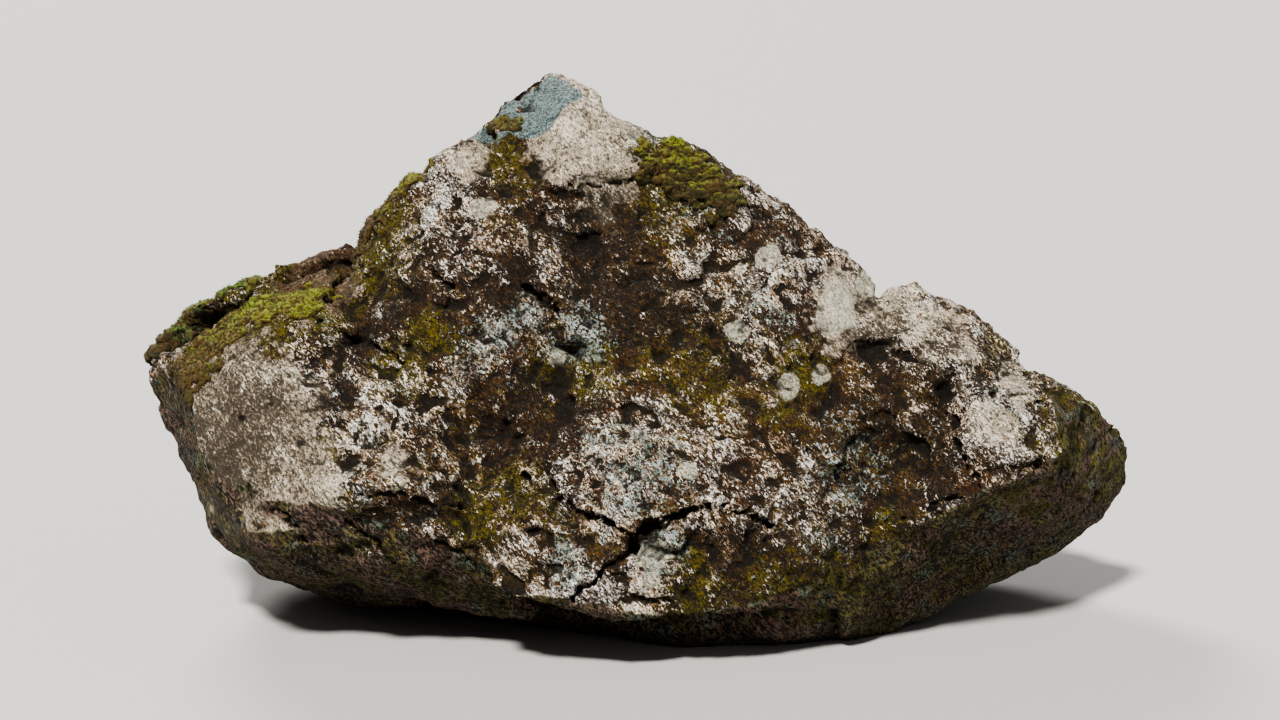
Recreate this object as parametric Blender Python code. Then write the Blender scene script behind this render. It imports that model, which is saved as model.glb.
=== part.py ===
"""A weathered granite boulder with moss, 1.2 m long, standing on its flat resting face.

The boulder's front faces -Y, its long side runs along X, and its peak is left of the middle.
It is built as a joint-bounded block of rock breaks up: a few convex blocks of granite, each the
hull of its own corners, are fused into one body, worn round, and then worked with local strokes.
The moss mats are separate growths that lie on the stone and follow its surface.
"""
import math

import bmesh
import bpy
from mathutils import Vector, noise

# Driving dimensions, in metres.
VOXEL = 0.006  # grain of the fused body before it is worn
WEAR_PASSES = 4  # how far the block edges are worn round
ROCK_TRIANGLES = 8600
RESTING_CUT = 0.0  # height of the flat face the boulder rests on
MOSS_GAP = 0.0005  # clearance between a mat and the stone
MOSS_EDGE = 0.002  # thickness of a mat at its rim
MOSS_GRAIN = 0.012  # longest edge left in a mat
RIM_SIDES = 14  # straight sides of a mat's outline
DEEPEST = 0.045  # how far a mat may follow the stone away from its middle

# Corners of the blocks the joints have left: outer edges first, buried corners last.
BLOCKS = {
    # the back and heart of the boulder: a long gable, steep at the rear
    "gable": [
        (-0.080, 0.050, 0.620), (-0.100, 0.100, 0.640), (0.060, 0.050, 0.565), (0.280, 0.040, 0.410),
        (0.260, 0.120, 0.410), (-0.210, 0.040, 0.580), (-0.250, 0.090, 0.550), (-0.355, 0.050, 0.450),
        (-0.025, -0.010, 0.500), (-0.035, -0.115, 0.285), (-0.095, -0.200, 0.160), (0.260, -0.150, 0.200),
        (-0.280, -0.150, 0.210), (0.070, -0.155, -0.030), (0.185, -0.150, -0.030), (0.270, -0.115, -0.030),
        (-0.270, 0.000, -0.030), (-0.170, -0.045, -0.030), (-0.025, -0.105, -0.030), (-0.300, 0.200, 0.400),
        (-0.090, 0.170, 0.600), (0.050, 0.190, 0.540), (0.260, 0.180, 0.380), (-0.340, 0.300, 0.080),
        (-0.280, 0.240, -0.030), (0.000, 0.290, -0.030), (0.270, 0.200, -0.030), (0.350, 0.260, 0.140),
        (0.000, 0.350, 0.250), (-0.300, 0.320, 0.220),
    ],
    # the peak: a fresh break falls left, a smooth brow faces forward
    "peak": [
        (-0.060, 0.010, 0.650), (-0.070, 0.050, 0.655), (-0.105, 0.085, 0.660), (-0.160, 0.070, 0.630),
        (-0.185, 0.065, 0.615), (-0.205, 0.060, 0.585), (-0.165, -0.015, 0.575), (-0.115, -0.040, 0.540),
        (-0.050, -0.045, 0.530), (0.015, -0.020, 0.555), (-0.020, 0.000, 0.605), (-0.045, 0.020, 0.625),
        (-0.090, 0.170, 0.600), (-0.200, 0.120, 0.500), (0.000, 0.120, 0.500),
    ],
    # the rounded buttress left of the valley
    "left_buttress": [
        (-0.210, 0.000, 0.590), (-0.240, 0.000, 0.565), (-0.270, 0.000, 0.540), (-0.315, 0.000, 0.500),
        (-0.345, 0.000, 0.465), (-0.170, -0.030, 0.565), (-0.110, -0.050, 0.530), (-0.070, -0.055, 0.510),
        (-0.265, -0.050, 0.490), (-0.190, -0.085, 0.475), (-0.070, -0.075, 0.450), (-0.345, -0.090, 0.380),
        (-0.235, -0.130, 0.375), (-0.120, -0.120, 0.370), (-0.060, -0.105, 0.365), (-0.280, -0.165, 0.295),
        (-0.165, -0.160, 0.295), (-0.080, -0.140, 0.300), (-0.360, -0.185, 0.255), (-0.245, -0.195, 0.240),
        (-0.125, -0.190, 0.230), (-0.275, -0.210, 0.190), (-0.140, -0.225, 0.170), (-0.240, 0.055, 0.556),
        (-0.340, 0.065, 0.462), (-0.300, 0.100, 0.300), (0.000, 0.100, 0.300),
    ],
    # the long slab that falls from the peak to the right
    "right_slab": [
        (0.000, 0.010, 0.595), (0.060, 0.020, 0.575), (0.090, 0.000, 0.550), (0.160, 0.000, 0.505),
        (0.230, 0.000, 0.455), (0.280, 0.000, 0.420), (0.030, -0.025, 0.515), (0.050, -0.055, 0.445),
        (0.145, -0.055, 0.460), (0.265, -0.045, 0.395), (0.060, -0.110, 0.360), (0.165, -0.120, 0.360),
        (0.275, -0.080, 0.355), (0.070, -0.145, 0.295), (0.185, -0.150, 0.295), (0.295, -0.115, 0.300),
        (0.235, -0.165, 0.235), (0.305, -0.155, 0.210), (0.210, -0.200, 0.160), (0.305, -0.180, 0.145),
        (0.070, -0.200, 0.185), (0.100, 0.055, 0.545), (0.268, 0.060, 0.414), (0.100, 0.100, 0.300),
        (0.300, 0.100, 0.200),
    ],
    # the sloping floor of the valley between them
    "valley_floor": [
        (-0.110, -0.030, 0.545), (-0.055, -0.034, 0.535), (0.010, -0.014, 0.550), (0.075, -0.066, 0.450),
        (-0.075, -0.062, 0.430), (-0.050, -0.090, 0.365), (0.105, -0.118, 0.350), (-0.095, -0.140, 0.295),
        (-0.045, -0.140, 0.320), (0.000, -0.195, 0.280), (0.070, -0.140, 0.330), (0.090, -0.195, 0.265),
        (-0.060, -0.195, 0.255), (-0.050, 0.100, 0.300), (0.100, 0.100, 0.300),
    ],
    # a low block that stands a little proud of the rear face
    "rear_block": [
        (-0.170, 0.340, 0.060), (0.130, 0.345, 0.070), (0.215, 0.310, 0.180), (0.120, 0.345, 0.285),
        (-0.060, 0.365, 0.300), (-0.210, 0.350, 0.180), (-0.060, 0.310, -0.010), (0.090, 0.300, -0.010),
        (-0.150, 0.200, 0.250), (0.150, 0.200, 0.200),
    ],
    # the round belly, the foremost part
    "belly": [
        (-0.045, -0.150, 0.310), (0.070, -0.145, 0.325), (0.165, -0.160, 0.295), (-0.090, -0.190, 0.255),
        (-0.105, -0.215, 0.215), (-0.045, -0.220, 0.250), (0.070, -0.220, 0.260), (0.160, -0.205, 0.245),
        (0.220, -0.195, 0.210), (-0.090, -0.250, 0.175), (0.000, -0.270, 0.180), (0.115, -0.260, 0.175),
        (0.230, -0.215, 0.130), (-0.045, -0.280, 0.110), (-0.090, -0.265, 0.075), (-0.025, -0.275, 0.060),
        (0.070, -0.265, 0.070), (0.160, -0.240, 0.070), (0.245, -0.200, 0.075), (0.280, -0.180, 0.170),
        (0.255, -0.165, 0.235), (-0.170, -0.240, 0.095), (-0.195, -0.235, 0.145), (-0.100, 0.000, 0.100),
        (0.200, 0.000, 0.100),
    ],
    # rock between the belly and the blocks beside it
    "heart": [
        (-0.245, -0.215, 0.190), (-0.160, -0.218, 0.185), (-0.095, -0.170, 0.250), (-0.140, -0.225, 0.120),
        (-0.195, -0.210, 0.115), (0.070, -0.170, 0.275), (0.235, -0.165, 0.225), (0.310, -0.135, 0.245),
        (0.400, -0.150, 0.190), (0.310, -0.175, 0.145), (0.245, -0.195, 0.115), (0.270, -0.160, 0.055),
        (0.070, -0.240, 0.075), (-0.095, -0.200, 0.065), (-0.200, 0.100, 0.100), (0.300, 0.100, 0.100),
    ],
    # the left front block: a pale face, a sill, and the undercut below the sill
    "left_front": [
        (-0.545, -0.120, 0.310), (-0.445, -0.125, 0.370), (-0.360, -0.115, 0.395), (-0.475, 0.000, 0.405),
        (-0.570, -0.030, 0.325), (-0.380, 0.000, 0.435), (-0.350, -0.200, 0.240), (-0.510, -0.150, 0.210),
        (-0.240, -0.205, 0.240), (-0.455, -0.190, 0.130), (-0.600, 0.000, 0.290), (-0.600, 0.020, 0.255),
        (-0.535, -0.030, 0.120), (-0.500, -0.060, 0.085), (-0.470, -0.030, 0.055), (-0.360, -0.030, 0.015),
        (-0.350, -0.235, 0.190), (-0.240, -0.230, 0.195), (-0.315, -0.190, 0.105), (-0.160, -0.220, 0.110),
        (-0.230, -0.120, 0.035), (-0.120, -0.160, 0.030), (-0.500, 0.150, 0.200), (-0.350, 0.100, 0.100),
        (-0.300, 0.000, 0.380),
    ],
    # the mossy ledge behind it
    "left_ledge": [
        (-0.530, 0.050, 0.395), (-0.495, 0.050, 0.400), (-0.580, 0.050, 0.355), (-0.600, 0.040, 0.320),
        (-0.610, 0.030, 0.290), (-0.470, 0.060, 0.415), (-0.425, 0.070, 0.435), (-0.360, 0.070, 0.455),
        (-0.605, 0.040, 0.260), (-0.545, 0.030, 0.130), (-0.500, 0.020, 0.055), (-0.440, 0.030, 0.020),
        (-0.380, 0.030, 0.005), (-0.550, 0.200, 0.260), (-0.450, 0.220, 0.340), (-0.330, 0.200, 0.400),
        (-0.500, 0.200, 0.100), (-0.300, 0.250, 0.030),
    ],
    # the pale shoulder right of the slab
    "right_shoulder": [
        (0.295, 0.000, 0.405), (0.325, -0.010, 0.405), (0.335, -0.030, 0.405), (0.370, -0.030, 0.390),
        (0.420, -0.030, 0.350), (0.470, -0.020, 0.325), (0.305, -0.080, 0.355), (0.380, -0.085, 0.355),
        (0.430, -0.095, 0.300), (0.355, -0.115, 0.315), (0.285, -0.100, 0.320), (0.305, -0.145, 0.235),
        (0.375, -0.140, 0.230), (0.350, 0.170, 0.360), (0.450, 0.170, 0.270), (0.300, 0.200, 0.100),
    ],
    # the block in front of the shoulder, with a lit left face
    "right_block": [
        (0.475, -0.040, 0.315), (0.505, -0.055, 0.293), (0.538, -0.075, 0.270), (0.500, -0.135, 0.207),
        (0.430, -0.120, 0.300), (0.380, -0.120, 0.305), (0.365, -0.150, 0.260), (0.405, -0.165, 0.250),
        (0.450, -0.165, 0.205), (0.380, -0.180, 0.180), (0.370, -0.165, 0.215), (0.290, -0.185, 0.145),
        (0.255, -0.200, 0.115), (0.400, 0.100, 0.200), (0.300, 0.100, 0.100),
    ],
    # the right end, cut back underneath
    "right_end": [
        (0.538, -0.075, 0.270), (0.500, -0.135, 0.207), (0.575, 0.020, 0.235), (0.615, 0.060, 0.185),
        (0.615, 0.060, 0.165), (0.605, 0.060, 0.140), (0.555, 0.020, 0.255), (0.570, 0.030, 0.110),
        (0.525, 0.000, 0.075), (0.490, 0.000, 0.060), (0.445, -0.010, 0.045), (0.385, -0.030, 0.025),
        (0.335, -0.050, 0.010), (0.285, -0.080, -0.020), (0.390, -0.165, 0.180), (0.290, -0.185, 0.130),
        (0.230, -0.195, 0.065), (0.245, -0.130, -0.020), (0.520, 0.180, 0.200), (0.450, 0.200, 0.100),
        (0.290, 0.190, -0.020), (0.450, 0.170, 0.270), (0.495, 0.020, 0.292), (0.465, 0.060, 0.300),
    ],
}

# Local working of the fused body: centre, reach along X, Y and Z, and push, all in metres.
STROKES = {
    "hollow behind the left arris": ((-0.515, 0.015, 0.375), (0.075, 0.050, 0.050), (0.010, 0.010, -0.036)),
    "soil pocket on the left ledge": ((-0.400, 0.040, 0.430), (0.055, 0.050, 0.030), (0.000, 0.000, -0.014)),
    "deep left wall of the valley": ((-0.060, -0.070, 0.440), (0.035, 0.060, 0.090), (0.000, 0.022, 0.000)),
    "foot of the valley": ((-0.080, -0.150, 0.330), (0.050, 0.060, 0.050), (0.000, 0.014, 0.000)),
    "shadowed dish left of the belly": ((-0.175, -0.195, 0.255), (0.080, 0.060, 0.050), (0.000, 0.016, 0.000)),
    "step under the dish": ((-0.190, -0.235, 0.185), (0.090, 0.050, 0.022), (0.000, -0.012, 0.000)),
    "sill of the left front block": ((-0.300, -0.225, 0.205), (0.110, 0.050, 0.022), (0.004, -0.012, 0.004)),
    "undercut below the sill": ((-0.310, -0.215, 0.150), (0.150, 0.060, 0.040), (0.000, 0.010, 0.000)),
    "second lip": ((-0.130, -0.245, 0.085), (0.120, 0.050, 0.024), (0.000, -0.014, 0.004)),
    "shadow below the second lip": ((-0.170, -0.205, 0.045), (0.130, 0.060, 0.030), (0.000, 0.014, 0.004)),
    "dish right of the belly": ((0.300, -0.165, 0.215), (0.085, 0.060, 0.060), (0.000, 0.016, 0.000)),
    "valley beside the right block": ((0.365, -0.125, 0.285), (0.028, 0.060, 0.075), (0.000, 0.018, 0.000)),
    "bulge of the right block": ((0.420, -0.140, 0.270), (0.045, 0.050, 0.050), (0.000, -0.010, 0.004)),
    "overhang crack under the slab": ((0.290, -0.095, 0.345), (0.050, 0.050, 0.018), (0.000, 0.016, 0.000)),
    "notch at the shoulder": ((0.290, 0.000, 0.405), (0.030, 0.080, 0.030), (0.000, 0.000, -0.010)),
    "hollow under the belly": ((0.080, -0.220, 0.035), (0.220, 0.060, 0.030), (0.000, 0.016, 0.000)),
    "step of the rear face": ((-0.080, 0.320, 0.330), (0.200, 0.080, 0.040), (0.000, -0.030, 0.000)),
    "rear right hollow": ((0.260, 0.240, 0.240), (0.120, 0.080, 0.090), (-0.010, -0.030, 0.000)),
    "rear left step": ((-0.330, 0.280, 0.260), (0.100, 0.080, 0.050), (0.010, -0.030, 0.000)),
    "rear foot": ((0.050, 0.330, 0.060), (0.220, 0.060, 0.050), (0.000, -0.020, 0.000)),
}

# Moss mats: centre, direction the middle faces, radii of the oval, thickness, all in metres.
MATS = {
    "moss_shoulder_cushion": ((0.058, -0.012, 0.558), (0.30, -0.60, 0.80), (0.046, 0.044), 0.010),
    "moss_left_slope": ((-0.440, -0.060, 0.397), (-0.10, -0.30, 1.00), (0.095, 0.062), 0.007),
    "moss_left_rim": ((-0.555, 0.080, 0.382), (-0.55, -0.05, 0.85), (0.065, 0.070), 0.009),
    "moss_left_crest": ((-0.308, -0.018, 0.500), (-0.50, -0.55, 0.65), (0.070, 0.034), 0.007),
    "moss_peak_tuft": ((-0.180, 0.025, 0.602), (-0.50, -0.60, 0.60), (0.018, 0.015), 0.005),
}


def surface_material(name, colour, roughness):
    """Plain surface colour for one node."""
    material = bpy.data.materials.new(name)
    material.use_nodes = True
    surface = material.node_tree.nodes["Principled BSDF"]
    surface.inputs["Base Color"].default_value = (*colour, 1.0)
    surface.inputs["Roughness"].default_value = roughness
    surface.inputs["Metallic"].default_value = 0.0
    return material


def fused_blocks(name):
    """All blocks as one object, each block the convex hull of its corners."""
    bm = bmesh.new()
    for corners in BLOCKS.values():
        verts = [bm.verts.new(corner) for corner in corners]
        hull = bmesh.ops.convex_hull(bm, input=verts)
        spare = set(hull["geom_interior"]) | set(hull["geom_unused"])
        spare = [item for item in spare if isinstance(item, bmesh.types.BMVert)]
        bmesh.ops.delete(bm, geom=spare, context="VERTS")
    bmesh.ops.recalc_face_normals(bm, faces=bm.faces)
    mesh = bpy.data.meshes.new(name)
    bm.to_mesh(mesh)
    bm.free()
    body = bpy.data.objects.new(name, mesh)
    bpy.context.scene.collection.objects.link(body)
    return body


def bake(body):
    """Replaces the object's mesh with what its modifiers make of it."""
    graph = bpy.context.evaluated_depsgraph_get()
    mesh = bpy.data.meshes.new_from_object(body.evaluated_get(graph))
    body.modifiers.clear()
    body.data = mesh
    mesh.name = body.name


def reach_of(point, centre, reach):
    """1 at the centre of an ellipsoid, falling smoothly to 0 at its surface."""
    squares = sum(((point[i] - centre[i]) / reach[i]) ** 2 for i in range(3))
    return max(0.0, 1.0 - squares) ** 2


def weathered(point):
    """Swell of the surface along its normal, from hand-sized bumps down to thumb-sized ones."""
    swell = 0.0028 + 0.0045 * noise.noise(point * 9.0)
    swell += 0.0030 * noise.noise(point * 21.0 + Vector((3.1, 7.7, 1.3)))
    ridged = 1.0 - abs(noise.noise(point * 14.0 + Vector((9.4, 2.2, 5.8)))) * 2.0
    return swell - 0.0030 * ridged


def work_surface(body):
    """Applies the strokes, then the weathering along each vertex normal."""
    mesh = body.data
    moved = []
    for vertex in mesh.vertices:
        point = vertex.co.copy()
        for centre, reach, push in STROKES.values():
            point += Vector(push) * reach_of(vertex.co, centre, reach)
        moved.append(point + vertex.normal * weathered(vertex.co))
    for vertex, point in zip(mesh.vertices, moved):
        vertex.co = point
    mesh.update()


def flat_base(body):
    """Cuts the body level at RESTING_CUT and closes the cut with one flat face."""
    bm = bmesh.new()
    bm.from_mesh(body.data)
    geometry = bm.verts[:] + bm.edges[:] + bm.faces[:]
    plane = Vector((0.0, 0.0, RESTING_CUT))
    cut = bmesh.ops.bisect_plane(bm, geom=geometry, plane_co=plane, plane_no=(0, 0, 1), clear_inner=True)
    rim = [item for item in cut["geom_cut"] if isinstance(item, bmesh.types.BMEdge)]
    bmesh.ops.holes_fill(bm, edges=rim, sides=0)
    bmesh.ops.triangulate(bm, faces=bm.faces)
    bmesh.ops.recalc_face_normals(bm, faces=bm.faces)
    bm.to_mesh(body.data)
    bm.free()


def centred(body):
    """Moves the mesh so that the origin is the middle of its footprint box, and returns the move."""
    xs = [vertex.co.x for vertex in body.data.vertices]
    ys = [vertex.co.y for vertex in body.data.vertices]
    move = Vector((-(min(xs) + max(xs)) / 2, -(min(ys) + max(ys)) / 2, 0.0))
    for vertex in body.data.vertices:
        vertex.co += move
    body.data.update()
    return move


def moss_mat(name, stone, centre, facing, radii, thickness, colour):
    """A mat over the stone round a centre: thick in the middle, thin at its many-sided rim."""
    bm = bmesh.new()
    bm.from_mesh(stone.data)
    bm.normal_update()
    lift = {tuple(vertex.co): vertex.normal.copy() for vertex in bm.verts}
    facing = facing.normalized()
    along = facing.cross(Vector((0.0, -1.0, 0.0))).normalized()
    up = along.cross(facing)
    trim_to_rim(bm, centre, along, up, radii)
    behind = [face for face in bm.faces if face.normal.dot(facing) < 0.5]
    bmesh.ops.delete(bm, geom=behind, context="FACES")
    keep_largest_patch(bm)
    bmesh.ops.subdivide_edges(bm, edges=long_edges(bm), cuts=1, use_grid_fill=True)
    bmesh.ops.triangulate(bm, faces=bm.faces)
    bm.normal_update()
    rim = {vertex for vertex in bm.verts if vertex.is_boundary}
    foot = {}
    top = {}
    for vertex in bm.verts[:]:
        normal = lift.get(tuple(vertex.co), vertex.normal)
        share = share_of_height(vertex.co - centre, along, up, radii)
        height = MOSS_EDGE if vertex in rim else MOSS_EDGE + thickness * share
        foot[vertex] = vertex.co + normal * MOSS_GAP
        top[vertex] = bm.verts.new(vertex.co + normal * (MOSS_GAP + height))
    walls = [edge.verts[:] for edge in bm.edges if edge.is_boundary]
    for face in bm.faces[:]:
        bm.faces.new([top[vertex] for vertex in face.verts])
    for a, b in walls:
        bm.faces.new([a, b, top[b], top[a]])
    for vertex, point in foot.items():
        vertex.co = point
    bmesh.ops.triangulate(bm, faces=bm.faces)
    bmesh.ops.recalc_face_normals(bm, faces=bm.faces)
    mesh = bpy.data.meshes.new(name)
    bm.to_mesh(mesh)
    bm.free()
    mat = bpy.data.objects.new(name, mesh)
    bpy.context.scene.collection.objects.link(mat)
    mesh.materials.append(surface_material(name, colour, 0.95))
    mesh.shade_smooth()
    return mat


def trim_to_rim(bm, centre, along, up, radii):
    """Cuts the faces to an uneven oval outline of RIM_SIDES straight sides."""
    for side in range(RIM_SIDES):
        angle = 2 * math.pi * side / RIM_SIDES
        uneven = 1.0 + 0.16 * noise.noise(centre * 31.0 + Vector((side * 1.7, 0.0, 0.0)))
        outward = along * math.cos(angle) * radii[0] + up * math.sin(angle) * radii[1]
        normal = (along * math.cos(angle) / radii[0] + up * math.sin(angle) / radii[1]).normalized()
        geometry = bm.verts[:] + bm.edges[:] + bm.faces[:]
        point = centre + outward * uneven
        bmesh.ops.bisect_plane(bm, geom=geometry, plane_co=point, plane_no=normal, clear_outer=True)
    facing = along.cross(up)
    for away in (-facing, facing):
        geometry = bm.verts[:] + bm.edges[:] + bm.faces[:]
        point = centre + away * DEEPEST
        bmesh.ops.bisect_plane(bm, geom=geometry, plane_co=point, plane_no=away, clear_outer=True)


def long_edges(bm):
    return [edge for edge in bm.edges if edge.calc_length() > MOSS_GRAIN]


def share_of_height(offset, along, up, radii):
    """1 in the middle of the oval, falling to 0 at its rim, with soft lumps."""
    squares = (offset.dot(along) / radii[0]) ** 2 + (offset.dot(up) / radii[1]) ** 2
    lumps = 0.8 + 0.4 * noise.noise(offset * 60.0)
    return math.sqrt(max(0.0, 1.0 - squares)) * lumps


def keep_largest_patch(bm):
    """Leaves only the largest group of joined faces."""
    left = set(bm.faces)
    patches = []
    while left:
        growing = {left.pop()}
        patch = set(growing)
        while growing:
            growing = {f for face in growing for e in face.edges for f in e.link_faces} & left
            left -= growing
            patch |= growing
        patches.append(patch)
    patches.sort(key=len)
    bmesh.ops.delete(bm, geom=[face for patch in patches[:-1] for face in patch], context="FACES")


def without_cavities(body):
    """Drops the closed voids that the hulls leave between them."""
    bm = bmesh.new()
    bm.from_mesh(body.data)
    keep_largest_patch(bm)
    bm.to_mesh(body.data)
    bm.free()


for item in list(bpy.data.objects):
    bpy.data.objects.remove(item)

rock = fused_blocks("granite_rock")
remesh = rock.modifiers.new("fuse", "REMESH")
remesh.mode = "VOXEL"
remesh.voxel_size = VOXEL
wear = rock.modifiers.new("wear", "SMOOTH")
wear.factor = 0.5
wear.iterations = WEAR_PASSES
bake(rock)
without_cavities(rock)
work_surface(rock)
fewer = rock.modifiers.new("fewer", "DECIMATE")
fewer.ratio = ROCK_TRIANGLES / (2 * len(rock.data.polygons))
bake(rock)
flat_base(rock)
shift = centred(rock)
rock.data.materials.clear()
rock.data.materials.append(surface_material("granite_rock", (0.30, 0.26, 0.20), 0.88))
rock.data.shade_smooth()

for mat_name, (mat_centre, mat_facing, mat_radii, mat_thickness) in MATS.items():
    grown_at = Vector(mat_centre) + shift
    moss_mat(mat_name, rock, grown_at, Vector(mat_facing), mat_radii, mat_thickness, (0.13, 0.14, 0.02))
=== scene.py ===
"""A weathered granite boulder, 1.2 m long, with lichen, stains and living moss mats, on a pale floor.

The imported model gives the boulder's shape and place. Here its surface is hewn, cracked and crumbled,
the growths on it are painted by where they live, and the moss mats are grown from the finished stone.
"""

import math
import random

import bmesh
import bpy
import numpy as np
from mathutils import Matrix, Vector, kdtree, noise


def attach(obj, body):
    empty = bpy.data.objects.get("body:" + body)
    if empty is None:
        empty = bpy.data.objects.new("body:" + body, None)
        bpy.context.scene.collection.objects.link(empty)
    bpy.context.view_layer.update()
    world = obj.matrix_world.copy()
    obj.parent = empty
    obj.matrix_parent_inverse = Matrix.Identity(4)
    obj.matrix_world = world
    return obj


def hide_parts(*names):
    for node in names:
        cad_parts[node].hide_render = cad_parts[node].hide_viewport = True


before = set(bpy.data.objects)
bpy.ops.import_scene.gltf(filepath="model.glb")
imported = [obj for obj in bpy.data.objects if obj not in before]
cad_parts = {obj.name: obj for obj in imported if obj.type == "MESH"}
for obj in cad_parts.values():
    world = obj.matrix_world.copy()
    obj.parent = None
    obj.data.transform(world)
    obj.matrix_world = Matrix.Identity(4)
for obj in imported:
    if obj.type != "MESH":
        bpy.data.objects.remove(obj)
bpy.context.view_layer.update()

# ---------------------------------------------------------------------------------------------------
# THE BOULDER'S SHAPE
# One natural block of granite, formed as one piece. Frost and old joints have left tipped facets,
# a lip under the brow, a lit sill over an undercut, and a branching crack in the belly.
# ---------------------------------------------------------------------------------------------------
GRAIN_OF_MESH = 0.0064  # voxel of the stone's mesh, halved over the front and top
KEPT_TRIANGLES = 190000  # left in the stone once it is sculpted
FOOT_LEVEL = 0.0015  # what lies lower than this is pressed flat into the resting face
SKIN_AREA = 2.2  # square metres of surface, roughly, shared out among the facets
MOST_CUT, MOST_FILLED = 0.020, 0.009  # how far a flat break takes the stone down or builds it up
CRACK_REACH = 0.012  # how far from a crack's path the stone is searched for it
CRACK_WANDER = 0.0065  # how far a crack strays from its path


def bake_modifiers(piece):
    """Replaces the piece's mesh with what its modifiers make of it."""
    graph = bpy.context.evaluated_depsgraph_get()
    mesh = bpy.data.meshes.new_from_object(piece.evaluated_get(graph))
    piece.modifiers.clear()
    piece.data = mesh
    mesh.name = piece.name


def new_piece(name, shape):
    """Makes an object at the origin from a bmesh."""
    mesh = bpy.data.meshes.new(name)
    shape.to_mesh(mesh)
    shape.free()
    piece = bpy.data.objects.new(name, mesh)
    bpy.context.scene.collection.objects.link(piece)
    return piece


def points_of(mesh):
    points = np.empty(len(mesh.vertices) * 3)
    mesh.vertices.foreach_get("co", points)
    return points.reshape(-1, 3)


def normals_of(mesh):
    normals = np.empty(len(mesh.vertices) * 3, dtype=np.float32)
    mesh.vertex_normals.foreach_get("vector", normals)
    return normals.reshape(-1, 3).astype(float)


def put_points(mesh, points):
    mesh.vertices.foreach_set("co", points.astype(np.float32).ravel())
    mesh.update()


def rough(points, size, octaves=3, start=(0.0, 0.0, 0.0)):
    """Layered noise about zero, with its largest lumps of the given size in metres."""
    start = Vector(start)
    return np.array([noise.fractal(Vector(p) / size + start, 1.0, 2.0, octaves) for p in points])


def reach_of(points, centre, reach):
    """1 at the middle of an ellipsoid, falling smoothly to 0 at its surface."""
    squares = (((points - np.array(centre)) / np.array(reach)) ** 2).sum(axis=1)
    return np.clip(1.0 - squares, 0.0, 1.0) ** 1.5


def distance_to_line(points, line):
    """Distance of each point from a path of straight runs, and how far along the path it lies."""
    best = np.full(len(points), 9.0)
    along = np.zeros(len(points))
    for run, (a, b) in enumerate(zip(line[:-1], line[1:])):
        a, b = np.array(a), np.array(b)
        share = np.clip(((points - a) @ (b - a)) / ((b - a) @ (b - a)), 0.0, 1.0)
        gap = np.linalg.norm(points - (a + share[:, None] * (b - a)), axis=1)
        nearer = gap < best
        best[nearer] = gap[nearer]
        along[nearer] = (run + share[nearer]) / (len(line) - 1)
    return best, along


def spread(mesh, values, rounds):
    """Averages the vertices' values over their neighbours, again and again."""
    ends = np.empty(len(mesh.edges) * 2, dtype=np.int64)
    mesh.edges.foreach_get("vertices", ends)
    a, b = ends[0::2], ends[1::2]
    count = np.maximum(np.bincount(ends, minlength=len(values)), 1)
    for _ in range(rounds):
        values = np.stack(
            [
                (np.bincount(a, column[b], len(column)) + np.bincount(b, column[a], len(column))) / count
                for column in values.T
            ],
            axis=1,
        )
    return values


def hollows_of(mesh, points, normals, rounds):
    """How far each vertex lies below its surroundings, in metres."""
    return ((spread(mesh, points, rounds) - points) * normals).sum(axis=1)


def hewn(points, size, tip, step, stretch, seed):
    """Height of a surface broken into facets: each one is tipped and stepped by a little of its own."""
    picker = random.Random(seed)
    stretched = points * np.array(stretch)
    wander = np.stack([rough(points, size * 0.8, 2, (i * 7.1, seed, 0)) for i in range(3)], axis=1)
    stretched = stretched + wander * size * 0.35
    count = int(SKIN_AREA / size**2)
    seats = [picker.randrange(len(points)) for _ in range(count)]
    tree = kdtree.KDTree(count)
    for place, seat in enumerate(seats):
        tree.insert(Vector(stretched[seat]), place)
    tree.balance()
    tips = np.array([[picker.uniform(-tip, tip) for _ in range(3)] for _ in seats])
    steps = np.array([picker.uniform(-step, step) for _ in seats])
    origins = stretched[seats]
    height = np.zeros(len(points))
    for i, point in enumerate(stretched):
        (_, first, near), (_, second, far) = tree.find_n(Vector(point), 2)
        share = 0.5 + 0.5 * min(1.0, (far - near) / (0.10 * size))
        one = steps[first] + tips[first] @ (point - origins[first])
        other = steps[second] + tips[second] @ (point - origins[second])
        height[i] = one * share + other * (1.0 - share)
    return height


# Faces split off flat: a point on the plane, the way it looks, the middle and reach of the break.
FLAT_BREAKS = {
    "fresh break at the peak": (
        (-0.125, -0.005, 0.632), (-0.52, -0.42, 0.74), (-0.155, 0.02, 0.625), (0.10, 0.09, 0.07),
    ),
    "brow of the peak": (
        (-0.060, -0.066, 0.590), (0.10, -0.93, 0.35), (-0.055, -0.06, 0.590), (0.09, 0.06, 0.08),
    ),
    "pale face of the left block": (
        (-0.450, -0.222, 0.260), (-0.28, -0.93, 0.26), (-0.450, -0.21, 0.265), (0.13, 0.09, 0.12),
    ),
    "dark left side": (
        (-0.560, -0.075, 0.230), (-0.86, -0.44, -0.22), (-0.56, -0.09, 0.23), (0.08, 0.12, 0.14),
    ),
    "lit face of the right block": (
        (0.430, -0.206, 0.250), (0.12, -0.84, 0.53), (0.435, -0.19, 0.25), (0.10, 0.08, 0.08),
    ),
    "right end": ((0.515, -0.125, 0.275), (0.82, -0.57, 0.0), (0.555, -0.07, 0.205), (0.11, 0.15, 0.11)),
    "right underside": (
        (0.440, -0.200, 0.190), (0.36, -0.72, -0.60), (0.435, -0.16, 0.135), (0.14, 0.11, 0.08),
    ),
    "shoulder": ((0.350, -0.095, 0.372), (0.20, -0.62, 0.76), (0.34, -0.09, 0.37), (0.09, 0.08, 0.06)),
}

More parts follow.
